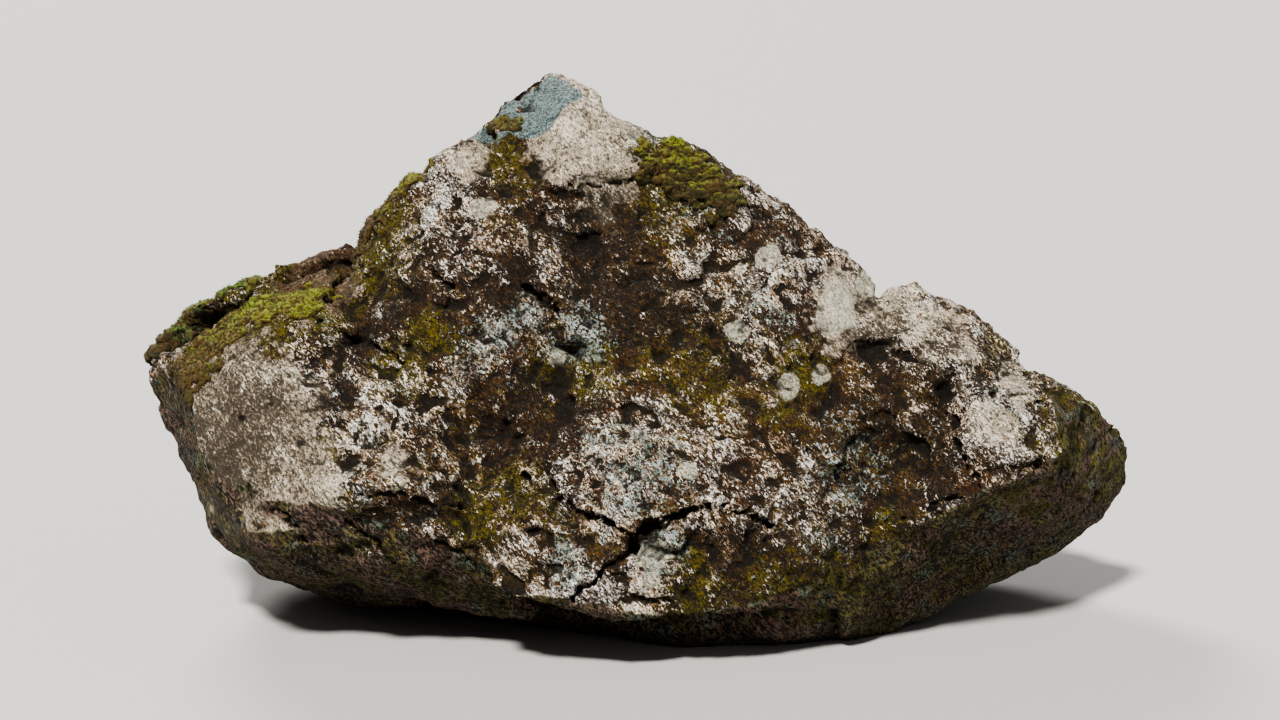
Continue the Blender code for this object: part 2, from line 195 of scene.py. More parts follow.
# Local working: middle, reach along X, Y and Z, and push.
WORKED = {
    "shadow under the brow": ((-0.055, -0.075, 0.528), (0.065, 0.05, 0.024), (0.0, 0.008, 0.0)),
    "brow's lip": ((-0.045, -0.085, 0.556), (0.060, 0.05, 0.018), (0.0, -0.003, 0.0)),
    "head of the valley": ((-0.060, -0.105, 0.465), (0.060, 0.06, 0.080), (0.0, 0.020, 0.0)),
    "middle of the valley": ((-0.020, -0.140, 0.400), (0.080, 0.07, 0.080), (0.0, 0.016, 0.0)),
    "steep left side of the valley": ((-0.105, -0.130, 0.440), (0.035, 0.05, 0.110), (0.0, -0.010, 0.0)),
    "foot of the valley": ((-0.115, -0.195, 0.300), (0.045, 0.06, 0.060), (0.0, 0.018, 0.0)),
    "dish left of the belly": ((-0.180, -0.235, 0.265), (0.075, 0.06, 0.040), (0.0, 0.014, 0.0)),
    "sill": ((-0.310, -0.280, 0.218), (0.100, 0.05, 0.016), (0.0, -0.010, 0.002)),
    "under the sill": ((-0.290, -0.280, 0.172), (0.120, 0.05, 0.026), (0.0, 0.008, 0.0)),
    "low lip": ((-0.150, -0.280, 0.088), (0.110, 0.05, 0.016), (0.0, -0.012, 0.0)),
    "under the low lip": ((-0.160, -0.255, 0.052), (0.130, 0.06, 0.028), (0.0, 0.006, 0.0)),
    "dish right of the belly": ((0.285, -0.200, 0.225), (0.095, 0.06, 0.070), (0.0, 0.013, 0.0)),
    "gully by the right block": ((0.355, -0.165, 0.285), (0.030, 0.05, 0.070), (0.0, 0.009, 0.0)),
    "swell of the right block": ((0.420, -0.200, 0.270), (0.045, 0.05, 0.045), (0.0, -0.008, 0.0)),
    "overhang of the slab": ((0.275, -0.130, 0.362), (0.055, 0.04, 0.016), (0.0, -0.004, 0.0)),
    "under the overhang": ((0.285, -0.130, 0.342), (0.055, 0.04, 0.014), (0.0, 0.007, 0.0)),
    "hollow under the left rim": ((-0.545, 0.006, 0.352), (0.060, 0.05, 0.022), (0.0, 0.030, -0.004)),
    "left rim": ((-0.535, 0.010, 0.386), (0.080, 0.05, 0.016), (0.0, -0.010, -0.004)),
    "gap beside the foot of the belly": ((0.190, -0.200, 0.045), (0.095, 0.08, 0.055), (0.0, -0.026, 0.0)),
    "foot of the belly": ((0.050, -0.235, 0.030), (0.230, 0.09, 0.050), (0.0, -0.022, 0.0)),
}

# Cracks: path over the surface, half width, depth.
CRACKS = {
    "belly crack": (
        (
            (0.065, -0.30, 0.190), (0.035, -0.31, 0.180), (0.005, -0.31, 0.170), (-0.020, -0.32, 0.140),
            (-0.045, -0.32, 0.120), (-0.080, -0.32, 0.090),
        ),
        0.0078, 0.026,
    ),
    "left branch": (
        (
            (-0.110, -0.26, 0.220), (-0.090, -0.28, 0.195), (-0.055, -0.30, 0.180), (-0.030, -0.31, 0.170),
            (-0.005, -0.31, 0.160),
        ),
        0.0056, 0.017,
    ),
    "right branch": (((0.070, -0.30, 0.195), (0.110, -0.30, 0.185), (0.160, -0.29, 0.160)), 0.0052, 0.014),
    "hole at the foot of the buttress": (((-0.140, -0.25, 0.220), (-0.130, -0.26, 0.205)), 0.0060, 0.012),
    "slot in the buttress": (
        ((-0.262, -0.136, 0.445), (-0.240, -0.145, 0.432), (-0.225, -0.150, 0.420)), 0.0045, 0.010
    ),
    "slot above the valley": (
        ((-0.140, -0.150, 0.425), (-0.120, -0.155, 0.410), (-0.095, -0.160, 0.395)), 0.0055, 0.013
    ),
    "long joint on the left": (
        (
            (-0.380, -0.150, 0.385), (-0.340, -0.165, 0.365), (-0.300, -0.170, 0.350),
            (-0.262, -0.180, 0.330),
        ),
        0.0048, 0.011,
    ),
    "joint of the sill": (
        (
            (-0.345, -0.285, 0.196), (-0.290, -0.275, 0.202), (-0.240, -0.265, 0.190),
            (-0.180, -0.270, 0.180),
        ),
        0.0042, 0.008,
    ),
    "short joint low on the left": (
        ((-0.430, -0.245, 0.180), (-0.400, -0.255, 0.150), (-0.385, -0.250, 0.120)), 0.0045, 0.008
    ),
    "second short joint": (
        ((-0.345, -0.265, 0.165), (-0.310, -0.262, 0.140), (-0.290, -0.262, 0.110)), 0.0045, 0.008
    ),
    "third short joint": (
        ((-0.250, -0.255, 0.150), (-0.215, -0.258, 0.130), (-0.190, -0.260, 0.105)), 0.0042, 0.007
    ),
    "joint over the shoulder": (
        ((0.250, -0.130, 0.350), (0.290, -0.130, 0.343), (0.330, -0.125, 0.330)), 0.0042, 0.007
    ),
    "joint of the right block": (
        ((0.345, -0.170, 0.300), (0.365, -0.175, 0.265), (0.375, -0.200, 0.225), (0.395, -0.215, 0.195)),
        0.0042, 0.008,
    ),
    "joint across the right block": (
        ((0.380, -0.175, 0.305), (0.425, -0.175, 0.300), (0.470, -0.160, 0.290)), 0.0040, 0.008
    ),
    "joint behind the cushion": (
        ((-0.015, -0.065, 0.575), (0.005, -0.070, 0.545), (-0.040, -0.090, 0.535), (-0.100, -0.085, 0.535)),
        0.0036, 0.006,
    ),
    "cleft by the left ledge": (
        ((-0.358, -0.070, 0.440), (-0.372, -0.105, 0.405), (-0.378, -0.125, 0.385)), 0.0060, 0.016
    ),
    "joint down the left face": (
        ((-0.470, -0.225, 0.300), (-0.462, -0.240, 0.255), (-0.480, -0.240, 0.205)), 0.0038, 0.006
    ),
    "lower joint in the dark": (
        ((0.180, -0.235, 0.250), (0.215, -0.230, 0.225), (0.262, -0.230, 0.205)), 0.0042, 0.008
    ),
    "joint under the lit block": (
        ((0.300, -0.215, 0.160), (0.345, -0.215, 0.180), (0.385, -0.215, 0.188)), 0.0045, 0.009
    ),
    "rear joint": (
        ((-0.300, 0.28, 0.330), (-0.120, 0.32, 0.310), (0.060, 0.31, 0.330), (0.200, 0.26, 0.300)),
        0.0060, 0.012,
    ),
    "rear upright joint": (
        ((0.060, 0.31, 0.330), (0.090, 0.34, 0.220), (0.070, 0.33, 0.080)), 0.0055, 0.012
    ),
}

stone = bmesh.new()
stone.from_mesh(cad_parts["granite_rock"].data)
bmesh.ops.remove_doubles(stone, verts=stone.verts, dist=0.00005)
boulder = new_piece("boulder", stone)
even = boulder.modifiers.new("even", "REMESH")
even.mode = "VOXEL"
even.voxel_size = GRAIN_OF_MESH
soften = boulder.modifiers.new("soften", "SMOOTH")
soften.factor = 0.5
soften.iterations = 3
bake_modifiers(boulder)


def grip_of(points):
    """0 on the resting face, which stays flat, rising to 1 a little above it."""
    return np.clip(points[:, 2] / 0.02, 0.0, 1.0)[:, None]


stone = bmesh.new()
stone.from_mesh(boulder.data)
stone.normal_update()
near_faces = [face for face in stone.faces if face.normal.y < 0.1 or face.normal.z > 0.45]
near_faces = [face for face in near_faces if face.calc_center_median().z > 0.004 and face.normal.z > -0.75]
near_edges = list({edge for face in near_faces for edge in face.edges})
bmesh.ops.subdivide_edges(stone, edges=near_edges, cuts=1, use_grid_fill=True)
stone.to_mesh(boulder.data)
stone.free()

points = points_of(boulder.data)
grip = grip_of(points)
for through, facing, middle, reach in FLAT_BREAKS.values():
    facing = np.array(facing) / np.linalg.norm(facing)
    above = (points - np.array(through)) @ facing
    cut = np.clip(above, -MOST_FILLED, MOST_CUT)
    points -= (np.clip(reach_of(points, middle, reach) * 2.2, 0.0, 1.0) * cut)[:, None] * facing
for middle, reach, push in WORKED.values():
    points += reach_of(points, middle, reach)[:, None] * np.array(push)
put_points(boulder.data, points)

# Bare faces keep their flat breaks: the hewing and crumbling there are gentler.
BARE_SPOTS = (
    (-0.46, 0.26, 0.090, 1.0), (-0.48, 0.29, 0.075, 1.0), (-0.41, 0.21, 0.065, 1.0),
    (-0.49, 0.17, 0.050, 1.0), (-0.37, 0.21, 0.030, 0.9), (-0.28, 0.23, 0.025, 0.6),
    (-0.07, 0.60, 0.065, 1.0), (-0.04, 0.55, 0.040, 1.0), (-0.05, 0.50, 0.025, 0.6),
    (0.24, 0.39, 0.045, 0.8), (0.27, 0.37, 0.035, 0.8), (0.35, 0.36, 0.050, 0.7), (0.31, 0.38, 0.040, 0.7),
    (0.38, 0.34, 0.030, 0.6), (-0.21, 0.56, 0.030, 0.7), (0.41, 0.27, 0.030, 0.65),
    (0.44, 0.30, 0.022, 0.70),
)


def front_spots(points, normals, spots):
    """How much a growth covers the front: spots are X, Z, reach and strength, seen from the front."""
    cover = np.zeros(len(points))
    for x, z, reach, strength in spots:
        gap = np.hypot(points[:, 0] - x, points[:, 2] - z) / reach
        cover = np.maximum(cover, strength * np.clip(1.35 - gap * 0.85, 0.0, 1.0))
    return cover * np.clip((0.55 - normals[:, 1]) / 0.4, 0.0, 1.0)


def sheltered(mesh, points, normals):
    """The underside and the right end, where the weather has worked more gently."""
    under = np.clip((0.05 - spread(mesh, normals, 12)[:, 2]) / 0.2, 0.0, 1.0)
    return np.maximum(under, reach_of(points, (0.56, -0.07, 0.20), (0.13, 0.17, 0.14)))


normals = normals_of(boulder.data)
bare = front_spots(points, normals, BARE_SPOTS)
calm_under = sheltered(boulder.data, points, normals)
calm = (1.0 - 0.72 * bare) * (1.0 - 0.5 * calm_under)
relief = 0.0060 * rough(points, 0.17, 2, (4.0, 1.0, 2.0)) * calm
relief += hewn(points, 0.115, 0.085, 0.0022, (1.0, 1.0, 1.5), 11) * calm
relief += hewn(points, 0.050, 0.150, 0.0022, (1.1, 1.0, 1.5), 12) * calm
small_relief = hewn(points, 0.022, 0.200, 0.0012, (1.0, 1.0, 1.4), 29)
relief += small_relief * (1.0 - 0.6 * bare) * (1.0 - 0.5 * calm_under)
points += normals * relief[:, None] * grip
put_points(boulder.data, points)

# Cracks are laid out as seen from the front or the rear, so their paths count for little in Y.
ACROSS = np.array((1.0, 0.15, 1.0))


def on_side_of(points, line):
    """Points that lie about as far back in Y as a crack's path does."""
    return np.abs(points[:, 1] - np.mean([place[1] for place in line])) < 0.07


def crack_share(points, reach):
    """How much of a crack each point is, 1 in its middle, and how deep the stone is split there."""
    share, depths = np.zeros(len(points)), np.zeros(len(points))
    for line, half_width, depth in CRACKS.values():
        near = np.flatnonzero(distance_to_line(points * ACROSS, np.array(line) * ACROSS)[0] < reach + 0.008)
        near = near[on_side_of(points[near], line)]
        if not len(near):
            continue
        places = points[near] * ACROSS
        wander = [rough(places, 0.016, 3, (i * 5.3, depth * 900, 0)) for i in range(3)]
        wander = np.stack(wander, axis=1) * CRACK_WANDER
        gap, along = distance_to_line(places + wander, np.array(line) * ACROSS)
        width = np.maximum(half_width * (0.40 + 0.60 * np.sin(np.pi * np.clip(along, 0.05, 0.95))), 0.002)
        cut = np.clip(1.0 - gap / width, 0.0, 1.0)
        share[near] = np.maximum(share[near], np.clip(1.25 - gap / width, 0.0, 1.0))
        depths[near] = np.maximum(depths[near], depth * cut**0.6)
    return share, depths


beside_cracks = np.zeros(len(points), dtype=bool)
for line, half_width, depth in CRACKS.values():
    gap = distance_to_line(points * ACROSS, np.array(line) * ACROSS)[0]
    beside_cracks |= on_side_of(points, line) & (gap < half_width + 0.010)
stone = bmesh.new()
stone.from_mesh(boulder.data)
split_edges = [edge for edge in stone.edges if all(beside_cracks[v.index] for v in edge.verts)]
bmesh.ops.subdivide_edges(stone, edges=split_edges, cuts=1, use_grid_fill=True)
stone.to_mesh(boulder.data)
stone.free()
points, normals = points_of(boulder.data), normals_of(boulder.data)
grip = grip_of(points)
bare = front_spots(points, normals, BARE_SPOTS)
calm_under = sheltered(boulder.data, points, normals)
points -= normals * crack_share(points, CRACK_REACH)[1][:, None] * grip
put_points(boulder.data, points)
normals = normals_of(boulder.data)
crumble = 0.0026 * rough(points * np.array((0.8, 1.0, 1.25)), 0.024, 4, (1.0, 5.0, 3.0))
crumble = crumble + 0.0013 * rough(points, 0.0085, 2, (8.0, 2.0, 6.0))
points += normals * (crumble * (1.0 - 0.5 * calm_under) * (1.0 - 0.6 * bare))[:, None] * grip
points[:, 2] = np.where(points[:, 2] < FOOT_LEVEL, 0.0, points[:, 2])
put_points(boulder.data, points)
fine_stone = boulder.data.copy()  # the mats grow from this one
thin = boulder.modifiers.new("thin", "DECIMATE")
thin.ratio = KEPT_TRIANGLES / (2 * len(boulder.data.polygons))
bake_modifiers(boulder)
points, normals = points_of(boulder.data), normals_of(boulder.data)
bare = front_spots(points, normals, BARE_SPOTS)
cracked = crack_share(points, CRACK_REACH)[0]
boulder.data.shade_smooth()
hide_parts("granite_rock")
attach(boulder, "root")

# ---------------------------------------------------------------------------------------------------
# WHAT GROWS ON THE BOULDER
# Crusts too thin to be pieces of their own: each one's cover is kept on the stone's mesh as a layer.
# Spots give X, Z, reach and strength on the front; the other sides follow rules of slope and damp.
# ---------------------------------------------------------------------------------------------------
GROWTHS = {
    "moss_film": (
        (-0.31, 0.48, 0.045, 1.0), (-0.33, 0.44, 0.035, 1.0), (-0.25, 0.37, 0.030, 1.0),
        (-0.28, 0.33, 0.035, 1.0), (-0.37, 0.25, 0.020, 1.0), (-0.35, 0.19, 0.025, 0.7),
        (-0.15, 0.20, 0.030, 1.0), (-0.19, 0.17, 0.035, 1.0), (-0.11, 0.19, 0.025, 0.7),
        (-0.06, 0.33, 0.035, 1.0), (-0.11, 0.33, 0.025, 0.7), (0.07, 0.33, 0.050, 0.65),
        (0.01, 0.34, 0.035, 0.5), (0.19, 0.32, 0.035, 1.0), (0.16, 0.29, 0.025, 0.8),
        (0.29, 0.39, 0.025, 0.8), (0.50, 0.29, 0.030, 0.8), (0.05, 0.13, 0.025, 0.8),
        (-0.17, 0.57, 0.030, 0.9), (-0.14, 0.55, 0.025, 0.7), (0.04, 0.53, 0.055, 1.0),
        (0.08, 0.53, 0.025, 0.8), (-0.49, 0.35, 0.050, 1.0), (-0.44, 0.39, 0.050, 1.0),
        (-0.39, 0.40, 0.040, 1.0), (0.28, 0.15, 0.030, 0.7), (0.22, 0.10, 0.040, 0.8),
        (0.45, 0.17, 0.030, 0.8), (0.06, 0.08, 0.045, 0.8), (0.16, 0.08, 0.055, 0.9),
        (0.55, 0.24, 0.090, 0.8), (-0.35, 0.40, 0.030, 0.8), (0.43, 0.34, 0.015, 0.7),
    ),
    "ochre": (
        (0.07, 0.27, 0.075, 1.0), (0.00, 0.30, 0.055, 1.0), (0.13, 0.25, 0.060, 1.0),
        (0.21, 0.27, 0.050, 0.8), (-0.05, 0.26, 0.030, 0.7), (-0.14, 0.13, 0.045, 0.9),
        (-0.06, 0.15, 0.035, 0.8), (-0.22, 0.28, 0.050, 0.7), (-0.28, 0.23, 0.040, 0.6),
        (0.40, 0.20, 0.030, 0.8), (0.27, 0.20, 0.055, 0.7), (-0.14, 0.57, 0.040, 0.8),
        (-0.17, 0.50, 0.035, 0.7), (0.07, 0.46, 0.050, 0.7), (0.00, 0.47, 0.030, 0.5),
        (-0.30, 0.28, 0.035, 0.6), (-0.20, 0.15, 0.040, 0.7), (0.52, 0.23, 0.030, 0.7),
        (0.30, 0.29, 0.035, 0.5), (0.12, 0.47, 0.030, 0.6),
    ),
    # partly real dark crust and partly painted shade: these spots also darken the valley, the dishes beside
    # the belly, the low right of the belly and the left side, where shade falls
    "dark_crust_and_shade": (
        (-0.04, 0.47, 0.055, 1.0), (-0.02, 0.42, 0.065, 1.0), (0.00, 0.37, 0.050, 1.0),
        (-0.08, 0.41, 0.040, 1.0), (-0.10, 0.48, 0.030, 1.0), (0.07, 0.37, 0.050, 0.8),
        (-0.14, 0.29, 0.045, 0.9), (-0.11, 0.27, 0.035, 1.0), (-0.20, 0.27, 0.045, 0.7),
        (0.25, 0.23, 0.060, 1.0), (0.31, 0.20, 0.060, 1.0), (0.35, 0.25, 0.035, 1.0),
        (0.34, 0.31, 0.035, 1.0), (0.28, 0.34, 0.035, 0.9), (-0.21, 0.41, 0.050, 0.8),
        (-0.17, 0.45, 0.040, 0.9), (-0.30, 0.41, 0.030, 0.6), (-0.33, 0.36, 0.030, 0.7),
        (-0.39, 0.35, 0.025, 0.5), (-0.15, 0.50, 0.030, 0.8), (-0.36, 0.30, 0.025, 0.6),
        (-0.05, 0.29, 0.025, 0.6), (0.12, 0.48, 0.035, 0.6), (-0.18, 0.22, 0.025, 0.6),
        (0.17, 0.36, 0.030, 0.6), (0.07, 0.40, 0.045, 0.6), (-0.23, 0.35, 0.030, 0.6),
        (0.14, 0.10, 0.045, 1.0), (0.22, 0.12, 0.050, 1.0), (0.30, 0.15, 0.040, 0.9),
        (0.06, 0.08, 0.030, 0.7), (0.36, 0.35, 0.020, 0.8), (0.40, 0.32, 0.018, 1.0),
        (0.31, 0.37, 0.015, 0.7), (0.27, 0.40, 0.015, 0.7), (-0.46, 0.27, 0.085, 0.6),
        (-0.50, 0.21, 0.050, 0.8), (-0.44, 0.23, 0.040, 0.5), (-0.53, 0.26, 0.030, 1.0),
    ),
    "white_flakes": (
        (-0.24, 0.53, 0.040, 1.0), (-0.21, 0.47, 0.045, 1.0), (-0.25, 0.50, 0.035, 1.0),
        (-0.10, 0.50, 0.025, 0.6), (-0.02, 0.28, 0.040, 0.8), (-0.05, 0.23, 0.045, 1.0),
        (0.04, 0.25, 0.035, 0.8), (0.09, 0.23, 0.050, 0.8), (0.42, 0.27, 0.055, 1.0),
        (0.38, 0.28, 0.030, 1.0), (0.44, 0.31, 0.030, 1.0), (0.01, 0.10, 0.030, 0.8),
        (-0.05, 0.08, 0.040, 0.9), (-0.30, 0.28, 0.050, 0.9), (-0.34, 0.26, 0.035, 0.8),
        (-0.25, 0.30, 0.045, 0.8), (-0.40, 0.34, 0.030, 1.0), (-0.46, 0.33, 0.025, 0.9),
        (-0.17, 0.35, 0.025, 0.7), (0.20, 0.19, 0.050, 0.6), (0.13, 0.21, 0.035, 0.7),
        (0.11, 0.35, 0.030, 0.5), (0.06, 0.46, 0.040, 0.6), (0.17, 0.41, 0.030, 0.6),
        (-0.09, 0.10, 0.035, 0.7), (-0.14, 0.13, 0.035, 0.5), (-0.28, 0.46, 0.025, 0.5),
        (-0.12, 0.46, 0.030, 0.5), (0.35, 0.16, 0.035, 0.3), (-0.18, 0.19, 0.025, 0.5),
        (0.13, 0.50, 0.025, 1.0), (0.20, 0.44, 0.030, 0.8), (0.09, 0.42, 0.030, 0.7),
        (0.25, 0.43, 0.020, 0.9), (-0.06, 0.60, 0.060, 0.8), (0.33, 0.37, 0.050, 1.0),
        (-0.36, 0.21, 0.030, 1.0), (0.24, 0.40, 0.040, 0.8), (0.38, 0.33, 0.030, 0.9),
        (0.10, 0.44, 0.025, 0.9), (0.16, 0.44, 0.025, 0.9), (0.05, 0.43, 0.020, 0.8),
    ),
    "blue_crust": (
        (-0.07, 0.37, 0.030, 1.0), (0.02, 0.14, 0.025, 1.0), (-0.17, 0.37, 0.020, 0.8),
        (-0.14, 0.39, 0.020, 0.8), (0.00, 0.23, 0.040, 0.8), (-0.09, 0.13, 0.025, 0.7),
        (-0.10, 0.36, 0.025, 0.6), (0.07, 0.50, 0.025, 0.4), (0.24, 0.22, 0.050, 0.5),
        (0.15, 0.39, 0.030, 0.4), (-0.05, 0.26, 0.025, 0.5), (-0.20, 0.35, 0.025, 0.6),
        (0.22, 0.14, 0.025, 0.5), (0.42, 0.29, 0.025, 0.5), (0.00, 0.58, 0.020, 0.8),
        (0.03, 0.57, 0.020, 0.8),
    ),
    "round_lichen": (
        (0.15, 0.45, 0.015, 1.0), (0.23, 0.39, 0.028, 1.0), (0.27, 0.41, 0.014, 1.0),
        (0.11, 0.37, 0.014, 1.0), (0.21, 0.32, 0.011, 1.0), (0.17, 0.31, 0.014, 1.0),
        (0.01, 0.14, 0.018, 1.0), (0.01, 0.11, 0.011, 1.0), (-0.19, 0.51, 0.014, 1.0),
        (-0.10, 0.34, 0.010, 1.0), (0.05, 0.23, 0.010, 1.0),
    ),
    "soil": (
        (-0.40, 0.43, 0.030, 1.0), (-0.37, 0.44, 0.015, 1.0), (-0.43, 0.41, 0.020, 0.7),
        (-0.36, 0.41, 0.025, 0.7),
    ),
}


def keep_layer(mesh, name, values):
    """Stores one value for each vertex, for the material to read by name."""
    layer = mesh.attributes.new(name, "FLOAT", "POINT")
    layer.data.foreach_set("value", np.clip(values, 0.0, 1.0).astype(np.float32))


behind = np.clip((normals[:, 1] - 0.05) / 0.35, 0.0, 1.0)
broad = rough(points, 0.16, 3, (2.0, 9.0, 4.0))
middling = rough(points, 0.07, 3, (6.0, 3.0, 1.0))
looks_up = np.clip((normals[:, 2] - 0.15) / 0.5, 0.0, 1.0)
elsewhere = {
    "moss_film": np.clip(looks_up * 0.9 + broad * 0.9 - 0.25, 0.0, 0.95),
    "ochre": np.clip(0.35 + middling * 1.1, 0.0, 0.9),
    "dark_crust_and_shade": np.clip(0.45 - broad * 1.2, 0.0, 1.0),
    "white_flakes": np.clip(0.30 + broad * 1.3, 0.0, 0.9),
    "blue_crust": np.clip(middling * 1.4 - 0.2, 0.0, 0.8),
    "round_lichen": np.zeros(len(points)),
    "soil": np.zeros(len(points)),
}
for growth, spots in GROWTHS.items():
    cover = front_spots(points, normals, spots) + elsewhere[growth] * behind
    keep_layer(boulder.data, growth, cover)
keep_layer(boulder.data, "bare", bare * (1.0 - behind) + np.clip(middling * 2.0 - 0.35, 0.0, 0.8) * behind)
FRESH_FACING = np.array((-0.52, -0.42, 0.74))
peak_share = reach_of(points, (-0.155, 0.01, 0.63), (0.125, 0.11, 0.085))
broad_normals = spread(boulder.data, normals, 6)
fresh_share = np.clip((broad_normals @ FRESH_FACING - 0.74) * 5.0, 0.0, 1.0)
keep_layer(boulder.data, "fresh", fresh_share * np.clip(peak_share * 4.0, 0.0, 1.0))

# How high the painted shade and growth of the underside reach in front: X along the boulder, and the height
# there.
SHADE_LINE = (
    (-0.60, 0.33), (-0.50, 0.23), (-0.35, 0.19), (-0.25, 0.15), (-0.10, 0.10), (0.05, 0.07),
    (0.20, 0.10), (0.30, 0.15), (0.36, 0.185), (0.45, 0.22), (0.55, 0.28),
)
shade_line = np.interp(points[:, 0], *zip(*SHADE_LINE))
shade_line = np.where(points[:, 1] > 0.05, 0.30, shade_line)
# The underside layer is partly painted shade: faces turned down below the shade line, the right end facet
# and the foot take the darker underside colours.
under = np.clip((0.02 - broad_normals[:, 2]) / 0.14, 0.0, 1.0)
under = under * np.clip((shade_line - points[:, 2]) / 0.015, 0.0, 1.0)
end_share = np.clip((broad_normals[:, 0] - 0.58) / 0.10, 0.0, 1.0)
end_share = end_share * np.clip((points[:, 0] - 0.46) / 0.03, 0.0, 1.0)
foot_share = np.clip((0.050 - points[:, 2]) / 0.02, 0.0, 1.0)
keep_layer(boulder.data, "underside", np.maximum(under, end_share) + foot_share)
# The hollow layer drives painted shade: the material darkens cracks and hollows with it and thins the pale
# flakes there.
HOLLOW_DEPTH = 0.0055  # what counts as one whole step of the layer of hollows
hollow = hollows_of(boulder.data, points, normals, 10)
keep_layer(boulder.data, "hollow", np.maximum(0.5 + hollow / HOLLOW_DEPTH, cracked * 1.2))

# The stone's finish: granite under crusts, flakes and films, built up in the order they lie.


def add_node(tree, kind, **settings):
    made = tree.nodes.new(kind)
    for name, value in settings.items():
        setattr(made, name, value)
    return made


def wire(tree, source, target):
    """Joins a socket to an input, or sets the input where the source is a plain value."""
    if isinstance(source, bpy.types.NodeSocket):
        tree.links.new(source, target)
    else:
        target.default_value = source


def sums(tree, operation, first, second=0.5, third=0.0, clamp=False):
    made = add_node(tree, "ShaderNodeMath", operation=operation, use_clamp=clamp)
    for source, target in zip((first, second, third), made.inputs):
        wire(tree, source, target)
    return made.outputs[0]


def between(tree, value, low, high, new_low=0.0, new_high=1.0):
    """Smooth step of a value from one range to another."""
    made = add_node(tree, "ShaderNodeMapRange", interpolation_type="SMOOTHSTEP")
    for source, target in zip((value, low, high, new_low, new_high), made.inputs):
        wire(tree, source, target)
    return made.outputs[0]


def blend(tree, share, under_colour, over_colour):
    """Lays one colour over another by its share."""
    made = add_node(tree, "ShaderNodeMix", data_type="RGBA")
    wire(tree, share, made.inputs["Factor"])
    wire(tree, under_colour, made.inputs["A"])
    wire(tree, over_colour, made.inputs["B"])
    return made.outputs["Result"]


def noise_node(tree, where, size, detail=4.0, roughness=0.6, distortion=0.0):
    """Noise whose lumps have the given size in metres."""
    made = add_node(tree, "ShaderNodeTexNoise")
    wire(tree, where, made.inputs["Vector"])
    made.inputs["Scale"].default_value = 1.0 / size
    made.inputs["Detail"].default_value = detail
    made.inputs["Roughness"].default_value = roughness
    made.inputs["Distortion"].default_value = distortion
    return made.outputs["Fac"]


def rgb(red, green, blue):
    return (red, green, blue, 1.0)


def new_group(name, inputs, outputs):
    tree = bpy.data.node_groups.new(name, "ShaderNodeTree")
    for socket, kind in inputs:
        tree.interface.new_socket(socket, in_out="INPUT", socket_type=kind)
    for socket, kind in outputs:
        tree.interface.new_socket(socket, in_out="OUTPUT", socket_type=kind)
    return tree, tree.nodes.new("NodeGroupInput").outputs, tree.nodes.new("NodeGroupOutput").inputs


def place_group(tree, group, **sources):
    made = add_node(tree, "ShaderNodeGroup", node_tree=group)
    for name, source in sources.items():
        wire(tree, source, made.inputs[name.replace("_", " ")])
    return made.outputs


def flakes_group():
    """Angular flakes of a crust, standing proud where they lie: more of them where its cover is greater."""
    tree, given, result = new_group(
        "crust flakes",
        [
            ("Vector", "NodeSocketVector"),
            ("Cover", "NodeSocketFloat"),
            ("Scale", "NodeSocketFloat"),
            ("Edge", "NodeSocketFloat"),
        ],
        [("Mask", "NodeSocketFloat"), ("Height", "NodeSocketFloat")],
    )
    scale = given["Scale"]
    bend = add_node(tree, "ShaderNodeTexNoise")
    wire(tree, given["Vector"], bend.inputs["Vector"])
    wire(tree, sums(tree, "MULTIPLY", scale, 0.5), bend.inputs["Scale"])
    bend.inputs["Detail"].default_value = 2.0
    centred = add_node(tree, "ShaderNodeVectorMath", operation="SUBTRACT")
    wire(tree, bend.outputs["Color"], centred.inputs[0])
    centred.inputs[1].default_value = (0.5, 0.5, 0.5)
    shift = add_node(tree, "ShaderNodeVectorMath", operation="SCALE")
    wire(tree, centred.outputs[0], shift.inputs[0])
    wire(tree, sums(tree, "DIVIDE", 3.2, scale), shift.inputs["Scale"])
    bent = add_node(tree, "ShaderNodeVectorMath", operation="ADD")
    wire(tree, given["Vector"], bent.inputs[0])
    wire(tree, shift.outputs[0], bent.inputs[1])
    cells = add_node(tree, "ShaderNodeTexVoronoi", feature="F1")
    wire(tree, bent.outputs[0], cells.inputs["Vector"])
    wire(tree, scale, cells.inputs["Scale"])
    cell = add_node(tree, "ShaderNodeSeparateColor")
    wire(tree, cells.outputs["Color"], cell.inputs["Color"])
    fine = add_node(tree, "ShaderNodeTexNoise")
    clump = add_node(tree, "ShaderNodeTexNoise")
    for made, share, detail in ((fine, 0.9, 3.0), (clump, 0.13, 3.0)):
        wire(tree, bent.outputs[0], made.inputs["Vector"])
        wire(tree, sums(tree, "MULTIPLY", scale, share), made.inputs["Scale"])
        made.inputs["Detail"].default_value = detail
        made.inputs["Roughness"].default_value = 0.62
    mixed = sums(
        tree, "MULTIPLY_ADD", cell.outputs["Red"], 0.42, sums(tree, "MULTIPLY", fine.outputs["Fac"], 1.15)
    )
    mixed = sums(tree, "MULTIPLY_ADD", clump.outputs["Fac"], 0.75, mixed)
    even = between(tree, mixed, 0.73, 1.59)
    from_top = sums(tree, "SUBTRACT", 1.0, given["Cover"])
    low = sums(tree, "SUBTRACT", from_top, given["Edge"])
    high = sums(tree, "ADD", from_top, given["Edge"])
    wire(tree, between(tree, even, low, high), result["Mask"])
    wire(tree, even, result["Height"])
    return tree


